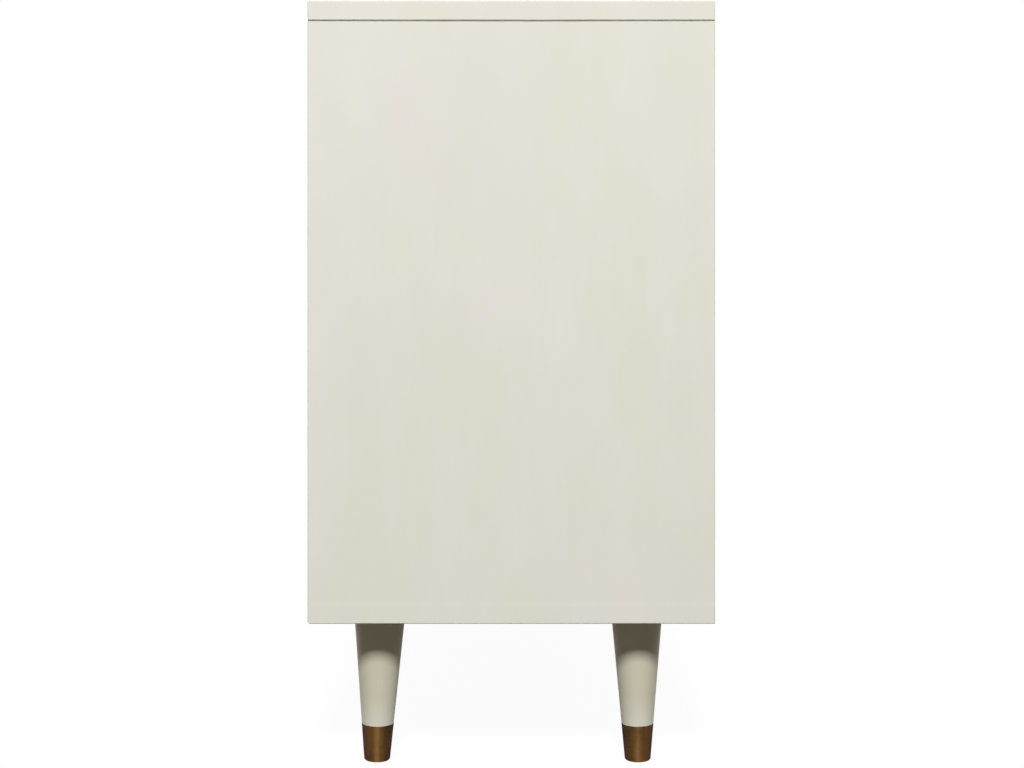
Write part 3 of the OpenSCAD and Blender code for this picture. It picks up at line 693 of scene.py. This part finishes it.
def beadTree():
    tree = bpy.data.node_groups.new("paintBead", "GeometryNodeTree")
    face = tree.interface
    face.new_socket("Geometry", in_out="INPUT", socket_type="NodeSocketGeometry")
    for name in ("Radius", "Up", "Bow", "Half Length", "Wander", "Waves", "Step", "Seed"):
        face.new_socket(name, in_out="INPUT", socket_type="NodeSocketFloat")
    face.new_socket("Sides", in_out="INPUT", socket_type="NodeSocketInt")
    face.new_socket("Material", in_out="INPUT", socket_type="NodeSocketMaterial")
    face.new_socket("Geometry", in_out="OUTPUT", socket_type="NodeSocketGeometry")
    given = add(tree, "NodeGroupInput").outputs
    line = add(tree, "GeometryNodeMeshToCurve", {"Mesh": given["Geometry"]}).outputs[0]
    fine = add(tree, "GeometryNodeResampleCurve", {"Curve": line, "Length": given["Step"]},
               mode="LENGTH").outputs[0]
    place = add(tree, "GeometryNodeInputPosition").outputs[0]
    drift = add(tree, "ShaderNodeTexNoise", {"Vector": place, "W": given["Seed"], "Scale": given["Waves"],
                                             "Detail": 4.0}, noise_dimensions="4D").outputs[0]
    y = add(tree, "ShaderNodeSeparateXYZ", {0: place}).outputs[1]
    outward = sums(tree, "ABSOLUTE", sums(tree, "DIVIDE", y, given["Half Length"]))
    bowed = sums(tree, "MULTIPLY", sums(tree, "POWER", outward, 2.0), given["Bow"])
    wandering = sums(tree, "MULTIPLY", sums(tree, "MULTIPLY_ADD", drift, 4.0, -2.0), given["Wander"])
    rise = sums(tree, "MULTIPLY", sums(tree, "ADD", bowed, wandering), given["Up"])
    offset = add(tree, "ShaderNodeCombineXYZ", {"Z": rise}).outputs[0]
    moved = add(tree, "GeometryNodeSetPosition", {"Geometry": fine, "Offset": offset}).outputs[0]
    section = add(tree, "GeometryNodeCurvePrimitiveCircle",
                  {"Resolution": given["Sides"], "Radius": given["Radius"]}).outputs[0]
    bead = add(tree, "GeometryNodeCurveToMesh",
               {"Curve": moved, "Profile Curve": section, "Fill Caps": True}).outputs[0]
    smooth = add(tree, "GeometryNodeSetShadeSmooth", {"Geometry": bead}).outputs[0]
    dressTree(tree, smooth, given["Material"])
    return tree


def setInputs(modifier, values):  # by the identifiers of the tree's sockets
    for item in modifier.node_group.interface.items_tree:
        if item.in_out == "INPUT" and item.name in values:
            modifier[item.identifier] = values[item.name]


def seamEdges():  # heights of the shadow line, from the corners of the right-hand end panel
    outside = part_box("right_end_panel")[1].x - onPlane
    face = [v.co.z for v in nodes["right_end_panel"].data.vertices if v.co.x > outside]
    return max(face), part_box("top_panel")[0].z


def makeSeamPaint(p):
    tree = beadTree()
    half = high.y - p["endsIn"]
    lowerEdge, upperEdge = seamEdges()
    endSeed, edgeSeed = p["seeds"]
    for k, side in enumerate(("left", "right")):
        near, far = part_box(side + "_end_panel")
        x = near.x + p["radius"] + p["inset"] if side == "left" else far.x - p["radius"] - p["inset"]
        for name, z, up, shows, bow in (("lower", lowerEdge, 1, p["lowerShows"], p["lowerBow"]),
                                        ("upper", upperEdge, -1, p["upperShows"], p["upperBow"])):
            z += up * (shows - p["radius"])
            mesh = bpy.data.meshes.new("bead")
            mesh.from_pydata([(x, -half, z), (x, half, z)], [(0, 1)], [])
            piece = newObject(side + "_seam_paint_" + name, mesh)
            modifier = piece.modifiers.new("paintBead", "NODES")
            modifier.node_group = tree
            setInputs(modifier, {"Radius": p["radius"], "Up": float(up), "Bow": bow, "Half Length": half,
                                 "Wander": p["wander"], "Waves": float(p["waves"]), "Step": p["step"],
                                 "Seed": k * endSeed + up * edgeSeed, "Sides": p["sides"],
                                 "Material": paintedLevel})
            plainMesh(piece)
            settle(piece, "case", "paint")


makeSeamPaint(seamPaint)
print("seam paint made")


# Turned brass: a profile of radius and height, spun about an axis
def arc(centre, radius, start, stop, count):  # a round in a profile, between two angles in degrees
    angles = [math.radians(start + (stop - start) * k / count) for k in range(count + 1)]
    return [(centre[0] + radius * math.cos(a), centre[1] + radius * math.sin(a)) for a in angles]


axisWeld = 0.000002  # points this close to each other on the axis are one


def spun(name, profile, steps, place, material, closed, shift=None):
    along = [0.0]
    for a, b in zip(profile, profile[1:] + profile[:1]):
        along.append(along[-1] + math.dist(a, b))
    bm = bmesh.new()
    turned = bm.loops.layers.uv.new(turnedMap)
    rings = []
    for turn in around(steps):
        rings.append([])
        for r, z in profile:
            if shift:
                r, z = shift(r, z, turn)
            rings[-1].append(bm.verts.new(place @ Vector((r * math.cos(turn), r * math.sin(turn), z))))
    count = len(profile)
    for k in range(steps):
        for i in range(count if closed else count - 1):
            corners = ((k, i), (k + 1, i), (k + 1, i + 1), (k, i + 1))
            face = bm.faces.new([rings[a % steps][b % count] for a, b in corners])
            for corner, (a, b) in zip(face.loops, corners):
                corner[turned].uv = (along[b], a / steps)  # a highlight is drawn out along U
    bmesh.ops.remove_doubles(bm, verts=bm.verts, dist=axisWeld)
    return finishMesh(name, bm, material)


ferruleShape = {
    "wall": 0.0012,
    "floor": 0.003,
    "footRound": 0.0025,
    "rimRound": 0.00035,
    "glideRadius": 0.0096,
    "glideDepth": 0.0014,
    "stemRadius": 0.0026,
    "wallRings": 5,
    "wallPitch": 0.008,
    "footSteps": 8,
    "rimSteps": 4,
    "steps": 96,
    "rimWander": 0.0004,   # how far the rim rises, here and there
    "rimWaves": 2.2,
    "rimDeep": 0.004,      # how far down it is uneven
    "flare": 0.00025,      # how far it stands away from the leg at its worst
    "flareSeed": 3.1,
    "seedApart": 7.3,
}


def reach(node, place, base, top):  # largest radius of a node about an axis, between two heights along it
    back = place.inverted()
    points = [back @ v.co for v in nodes[node].data.vertices]
    return max(math.hypot(p.x, p.y) for p in points if base <= p.z <= top)


def legPlace(corner):  # from the lathe to the leg, whose axis runs from its foot to the middle of its top
    foot = next(Vector(m["pos_m"]) for m in record["mounts"] if m["name"] == corner + "_foot")
    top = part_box(corner + "_leg")[1].z
    ring = [v.co.y for v in nodes[corner + "_leg"].data.vertices if v.co.z > top - onPlane]
    head = Vector((foot.x, (min(ring) + max(ring)) / 2, top))
    axis = (head - foot).normalized()
    return Matrix.Translation(head - axis * top) @ axis.to_track_quat("Z", "X").to_matrix().to_4x4()


def makeFerrule(p, corner, seed):
    node = corner + "_ferrule"
    place = legPlace(corner)
    heights = [(place.inverted() @ v.co).z for v in nodes[node].data.vertices]
    base, rim = min(heights), max(heights)
    rimRadius = reach(node, place, rim - 2 * onPlane, rim + 2 * onPlane)
    roundAt = base + p["footRound"]
    lowRadius = reach(node, place, base, roundAt)  # where the taper meets the round of the foot
    slope = (rimRadius - lowRadius) / (rim - roundAt)
    tilt = math.degrees(math.atan(slope))

    def wallAt(z, inset=0.0):
        return rimRadius - slope * (rim - z) - inset

    profile = [(p["stemRadius"], base + p["glideDepth"]), (p["glideRadius"], base + p["glideDepth"]),
               (p["glideRadius"], base)]
    profile += arc((wallAt(roundAt) - p["footRound"], roundAt), p["footRound"], -90, -tilt, p["footSteps"])
    profile += [(wallAt(k * p["wallPitch"]), k * p["wallPitch"]) for k in range(1, p["wallRings"] + 1)]
    ease = p["rimRound"]
    profile += arc((wallAt(rim) - ease, rim - ease), ease, -tilt, 90, p["rimSteps"])
    inner = base + p["floor"]
    profile += [(wallAt(rim, p["wall"]), rim), (wallAt(inner, p["wall"]), inner), (p["stemRadius"], inner)]

    def uneven(r, z, turn):
        near = max(0.0, (z - rim + p["rimDeep"]) / p["rimDeep"])
        waves = p["rimWaves"]
        spot = Vector((math.cos(turn) * waves, math.sin(turn) * waves, seed * p["seedApart"]))
        rise = max(0.0, 0.5 + wander.noise(spot)) * p["rimWander"]
        out = max(0.0, wander.noise(spot * 0.5 + Vector((0, 0, p["flareSeed"])))) * p["flare"]
        return r + near ** 2 * out, z + near * rise

    standFor(spun(node + "_cup", profile, p["steps"], place, ferruleBrass, True, uneven), node)


for seed, corner in enumerate(("front_left", "front_right", "back_left", "back_right")):
    makeFerrule(ferruleShape, corner, seed)
print("ferrules made")


# Pulls: a bowl with a flange and a rounded lip
pullShape = {
    "wall": 0.0012,
    "bowlRound": 0.005,
    "lipRound": 0.0008,
    "grooveIn": 0.0016,    # from the rim of the flange to the groove that is turned in it
    "grooveWide": 0.0007,
    "grooveDeep": 0.0002,
    "dimple": (0.0011, 0.0003),  # radius and depth of the lathe's centre mark
    "belowFlange": 0.001,  # from where the bowl's width is taken
    "bowlSteps": 10,
    "lipSteps": 5,
    "rimSteps": 8,
    "backSteps": 4,
    "steps": 96,
}


def makePull(p, node):
    near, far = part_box(node)
    middle = (near + far) / 2
    place = Matrix.Translation((middle.x, near.y, middle.z)) @ Matrix.Rotation(-math.pi / 2, 4, "X")
    flange = (far.x - near.x) / 2
    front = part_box(node.replace("_pull", "") if "door" in node else node.replace("_pull", "_front"))[0].y
    proud = front - near.y
    depth = far.y - near.y
    bowl = reach(node, place, proud + p["belowFlange"], depth)
    inside = bowl - p["wall"]
    floor = depth - p["wall"]
    half = proud / 2
    centre, mark = p["dimple"]
    groove = flange - p["grooveIn"]
    wide, deep = p["grooveWide"], p["grooveDeep"]
    profile = [(0, floor + mark), (centre / 2, floor + mark * 0.8), (centre, floor)]
    profile += arc((inside - p["bowlRound"], floor - p["bowlRound"]), p["bowlRound"], 90, 0, p["bowlSteps"])
    profile += [(inside, (floor - p["bowlRound"] + p["lipRound"]) / 2)]
    profile += arc((inside + p["lipRound"], p["lipRound"]), p["lipRound"], 180, 270, p["lipSteps"])
    profile += [(groove - wide, 0), (groove - wide / 2, deep), (groove, deep), (groove + wide / 4, 0)]
    profile += arc((flange - half, half), half, -90, 90, p["rimSteps"])
    profile += [(bowl, proud)]
    profile += arc((bowl - p["lipRound"], depth - p["lipRound"]), p["lipRound"], 0, 90, p["backSteps"])
    profile += [(0, depth)]
    standFor(spun(node + "_cup", profile, p["steps"], place, pullBrass, False), node)


for node in nodes:
    if node.endswith("_pull"):
        makePull(pullShape, node)
print("pulls made")


# Screws: one head and shank, set by Geometry Nodes on points that know which way each one faces
woodScrew = {
    "headRadius": 0.0029,
    "headDepth": 0.0017,
    "headEase": (0.0001, 0.0002),  # taken off the rim of the head, inwards and down
    "shank": 0.0015,
    "length": 0.0158,
    "point": (0.3, 0.003),  # its end's share of the shank's radius, and its length
    "recess": 0.0017,      # half the width of the cross
    "recessArm": 0.00042,  # half the width of one arm
    "recessDepth": 0.0009,
    "recessTaper": (0.6, 0.7),  # what is left of the two at its floor
    "sides": 16,
}
panScrew = {
    "headRadius": 0.0027,
    "dome": 0.0013,
    "domeRings": ((1, 0), (0.97, 0.45), (0.8, 0.85), (0.62, 1)),  # shares of the radius and of the dome
    "recess": 0.0014,
    "recessArm": 0.0004,
    "recessDepth": 0.0008,
    "recessTaper": (0.6, 0.7),
    "sides": 16,
}


def ringOf(bm, radius, z, sides):
    return [bm.verts.new((radius * math.cos(t), radius * math.sin(t), z)) for t in around(sides)]


def joined(bm, lower, upper):
    count = len(lower)
    for k in range(count):
        bm.faces.new((lower[k], lower[(k + 1) % count], upper[(k + 1) % count], upper[k]))


def crossOf(bm, half, arm, z):
    spots = []
    for c, s in ((1, 0), (0, 1), (-1, 0), (0, -1)):
        for x, y in ((arm, -arm), (half, -arm), (half, arm)):
            spots.append((x * c - y * s, x * s + y * c))
    return [bm.verts.new((x, y, z)) for x, y in spots]


def fillBetween(bm, outer, inner):  # a flat face with a hole in it
    border = []
    for loop in (outer, inner):
        for k in range(len(loop)):
            pair = (loop[k], loop[(k + 1) % len(loop)])
            border.append(bm.edges.get(pair) or bm.edges.new(pair))
    bmesh.ops.triangle_fill(bm, edges=border, use_beauty=True)


def crossHead(bm, p, rim, z):  # the flat middle of a head, with a cross sunk in it
    less, thinner = p["recessTaper"]
    upper = crossOf(bm, p["recess"], p["recessArm"], z)
    lower = crossOf(bm, p["recess"] * less, p["recessArm"] * thinner, z - p["recessDepth"])
    joined(bm, lower, upper)
    bm.faces.new(lower)
    fillBetween(bm, rim, upper)


def screwMesh(name, p):  # its head looks up Z, with the seat of the head at 0
    bm = bmesh.new()
    if "dome" in p:
        profile = [(p["headRadius"] * r, p["dome"] * z) for r, z in p["domeRings"]]
    else:
        shank, end, head = p["shank"], -p["length"], p["headRadius"]
        inward, down = p["headEase"]
        profile = [(shank * p["point"][0], end), (shank, end + p["point"][1]), (shank, -p["headDepth"]),
                   (head, -down), (head - inward, 0)]
    rows = [ringOf(bm, r, z, p["sides"]) for r, z in profile]
    bm.faces.new(rows[0][::-1])
    for lower, upper in zip(rows, rows[1:]):
        joined(bm, lower, upper)
    crossHead(bm, p, rows[-1], profile[-1][1])
    return finishMesh(name, bm)


def screwTree():
    tree = bpy.data.node_groups.new("setScrews", "GeometryNodeTree")
    face = tree.interface
    face.new_socket("Geometry", in_out="INPUT", socket_type="NodeSocketGeometry")
    face.new_socket("Screw", in_out="INPUT", socket_type="NodeSocketObject")
    face.new_socket("Material", in_out="INPUT", socket_type="NodeSocketMaterial")
    face.new_socket("Seed", in_out="INPUT", socket_type="NodeSocketInt")
    face.new_socket("Geometry", in_out="OUTPUT", socket_type="NodeSocketGeometry")
    given = add(tree, "NodeGroupInput").outputs
    screw = add(tree, "GeometryNodeObjectInfo", {"Object": given["Screw"]})
    way = add(tree, "GeometryNodeInputNamedAttribute", {"Name": "facing"}, data_type="FLOAT_VECTOR")
    aimed = add(tree, "FunctionNodeAlignRotationToVector", {"Vector": way.outputs[0]}, axis="Z")
    spin = add(tree, "FunctionNodeRandomValue",
               {"Min": 0.0, "Max": 2 * math.pi, "Seed": given["Seed"]}, data_type="FLOAT")
    turned = add(tree, "FunctionNodeAxisAngleToRotation", {"Axis": (0, 0, 1), "Angle": spin.outputs[1]})
    both = add(tree, "FunctionNodeRotateRotation",
               {"Rotation": aimed.outputs[0], "Rotate By": turned.outputs[0]}, rotation_space="LOCAL")
    placed = add(tree, "GeometryNodeInstanceOnPoints", {"Points": given["Geometry"],
                                                        "Instance": screw.outputs["Geometry"],
                                                        "Rotation": both.outputs[0]})
    dressTree(tree, placed.outputs[0], given["Material"])
    return tree


def setScrews(name, screw, spots, material, seed):  # spots are pairs of a seat and the way its head looks
    mesh = bpy.data.meshes.new(name)
    mesh.from_pydata([at for at, way in spots], [], [])
    facingWay = mesh.attributes.new("facing", "FLOAT_VECTOR", "POINT")
    for k, (at, way) in enumerate(spots):
        facingWay.data[k].vector = way
    piece = newObject(name, mesh)
    modifier = piece.modifiers.new("setScrews", "NODES")
    modifier.node_group = screwSetter
    setInputs(modifier, {"Screw": screw, "Material": material, "Seed": seed})
    plainMesh(piece)
    return piece


def islands(node):  # the separate solids of a node, as lists of points, always in the same order
    bm = bmesh.new()
    bm.from_mesh(nodes[node].data)
    bmesh.ops.remove_doubles(bm, verts=bm.verts, dist=weld)
    left = set(bm.verts)
    groups = []
    while left:
        group, reached = set(), [left.pop()]
        while reached:
            vert = reached.pop()
            group.add(vert)
            for other in (e.other_vert(vert) for e in vert.link_edges):
                if other in left:
                    left.discard(other)
                    reached.append(other)
        groups.append([v.co.copy() for v in group])
    bm.free()
    return sorted(groups, key=lambda group: min(tuple(point) for point in group))


nearEnd = 0.0005  # points this close to the end of a screw show how wide it is there


def screwSpots(node):  # a hinge screw lies along X, and its head is the wider end
    spots = []
    for points in islands(node):
        ends = [min(p.x for p in points), max(p.x for p in points)]
        middle = [(min(p[k] for p in points) + max(p[k] for p in points)) / 2 for k in range(3)]
        width = [max(abs(p.z - middle[2]) for p in points if abs(p.x - x) < nearEnd) for x in ends]
        head = 0 if width[0] > width[1] else 1
        way = (-1 if head == 0 else 1, 0, 0)
        spots.append(((ends[head], middle[1], middle[2]), way))
    return sorted(spots)


screwSetter = screwTree()
brassScrew = screwMesh("woodScrew", woodScrew)
domedScrew = screwMesh("panScrew", panScrew)
for seed, node in enumerate(("case_hinge_screws", "left_door_hinge_screws", "right_door_hinge_screws")):
    standFor(setScrews(node + "_set", brassScrew, screwSpots(node), hingeBrass, seed), node)


backing = {
    "border": 0.0043,      # from the edge of the back panel to its screws
    "pitch": 0.17,
    "seed": 11,
}


def backScrewSpots(p):
    near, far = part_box("back_panel")
    y = far.y
    spots = []
    for x0, z0, x1, z1 in ((near.x, near.z, far.x, near.z), (near.x, far.z, far.x, far.z),
                           (near.x, near.z, near.x, far.z), (far.x, near.z, far.x, far.z)):
        run = abs(x1 - x0) + abs(z1 - z0)
        count = round(run / p["pitch"])
        for k in range(count):
            share = (k + 0.5) / count
            x, z = x0 + (x1 - x0) * share, z0 + (z1 - z0) * share
            x = min(max(x, near.x + p["border"]), far.x - p["border"])
            z = min(max(z, near.z + p["border"]), far.z - p["border"])
            spots.append(((x, y, z), (0, 1, 0)))
    return spots


# Catches: two steel poles in each, a screw in each ear, and a rounded plate with a screw on each door
catchSteel = {
    "poleLong": 0.022,
    "poleHigh": 0.0016,
    "poleDeep": 0.004,
    "poleApart": 0.0056,   # between the middles of the two
    "poleProud": 0.00012,
    "poleRound": 0.0004,
    "poleSteps": 3,
    "plateRound": 0.0025,
    "plateEase": 0.00025,
    "plateSteps": 6,
    "sink": (0.0034, 0.0026, 0.0008),  # a strike's countersunk hole: radii at the face and floor, and depth
    "sinkSides": 32,
    "screwSunk": 0.00025,
    "earWithin": (0.0005, 0.004),  # heights of the ears' undersides, below the top of a catch
    "earHole": 0.0045,     # in from each end of a catch
    "catchSeed": 12,       # of the turns of the screws
    "strikeSeed": 20,
}


def easedPlate(p, bm, near, far, radius, ease, steps, sink=None):  # facing along Y, its corners rounded

    def outline(y, inset):
        points = []
        right, left = far.x - radius, near.x + radius
        upper, lower = far.z - radius, near.z + radius
        for x, z, start in ((right, upper, 0), (left, upper, 90), (left, lower, 180), (right, lower, 270)):
            points += [(a, y, b) for a, b in arc((x, z), radius - inset, start, start + 90, steps)]
        return [bm.verts.new(at) for at in points]

    rows = [outline(near.y, ease), outline(near.y + ease, 0), outline(far.y - ease, 0), outline(far.y, ease)]
    bm.faces.new(rows[0])
    for lower, upper in zip(rows, rows[1:]):
        joined(bm, lower, upper)
    if not sink:
        bm.faces.new(rows[-1][::-1])
        return
    middle = (near + far) / 2
    wide, narrow, depth = sink

    def hole(r, y):
        turns = around(p["sinkSides"])
        return [bm.verts.new((middle.x + r * math.cos(t), y, middle.z + r * math.sin(t))) for t in turns]

    upper, lower = hole(wide, far.y), hole(narrow, far.y - depth)
    joined(bm, lower, upper)
    bm.faces.new(lower)
    fillBetween(bm, rows[-1], upper)


def makeCatchSteel(p):
    bm = bmesh.new()
    for points in islands("catches"):
        middle = (min(q.x for q in points) + max(q.x for q in points)) / 2
        face = min(q.y for q in points)
        height = (min(q.z for q in points) + max(q.z for q in points)) / 2
        for way in (-1, 1):
            z = height + way * p["poleApart"] / 2
            near = Vector((middle - p["poleLong"] / 2, face - p["poleProud"], z - p["poleHigh"] / 2))
            far = Vector((middle + p["poleLong"] / 2, face + p["poleDeep"], z + p["poleHigh"] / 2))
            easedPlate(p, bm, near, far, p["poleRound"], p["poleProud"] / 2, p["poleSteps"])
    settle(finishMesh("catch_poles", bm, zincPlate), "case", "steel")
    for k, side in enumerate(("left", "right")):
        node = side + "_strike"
        near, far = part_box(node)
        bm = bmesh.new()
        easedPlate(p, bm, near, far, p["plateRound"], p["plateEase"], p["plateSteps"], p["sink"])
        standFor(finishMesh(node + "_plate", bm, zincPlate), node)
        centre = (near + far) / 2
        spot = ((centre.x, far.y - p["screwSunk"], centre.z), (0, 1, 0))
        screw = setScrews(node + "_screw", brassScrew, [spot], zincPlate, p["strikeSeed"] + k)
        settle(screw, side + "_door", "steel")


def catchScrewSpots(p):  # under the ears
    nearest, furthest = p["earWithin"]
    spots = []
    for points in islands("catches"):
        left, right = min(q.x for q in points), max(q.x for q in points)
        top = max(q.z for q in points)
        z = min(q.z for q in points if nearest < top - q.z < furthest)
        y = (min(q.y for q in points) + max(q.y for q in points)) / 2
        for x in (left + p["earHole"], right - p["earHole"]):
            spots.append(((x, y, z), (0, 0, -1)))
    return spots


makeCatchSteel(catchSteel)
backScrews = setScrews("back_panel_screws", domedScrew, backScrewSpots(backing), zincPlate, backing["seed"])
settle(backScrews, "case", "steel")
catchScrews = setScrews("catch_screws", domedScrew, catchScrewSpots(catchSteel), zincPlate,
                        catchSteel["catchSeed"])
settle(catchScrews, "case", "steel")
for spare in (brassScrew, domedScrew):
    bpy.data.objects.remove(spare)
print("screws set")


scene.view_settings.view_transform = "Standard"
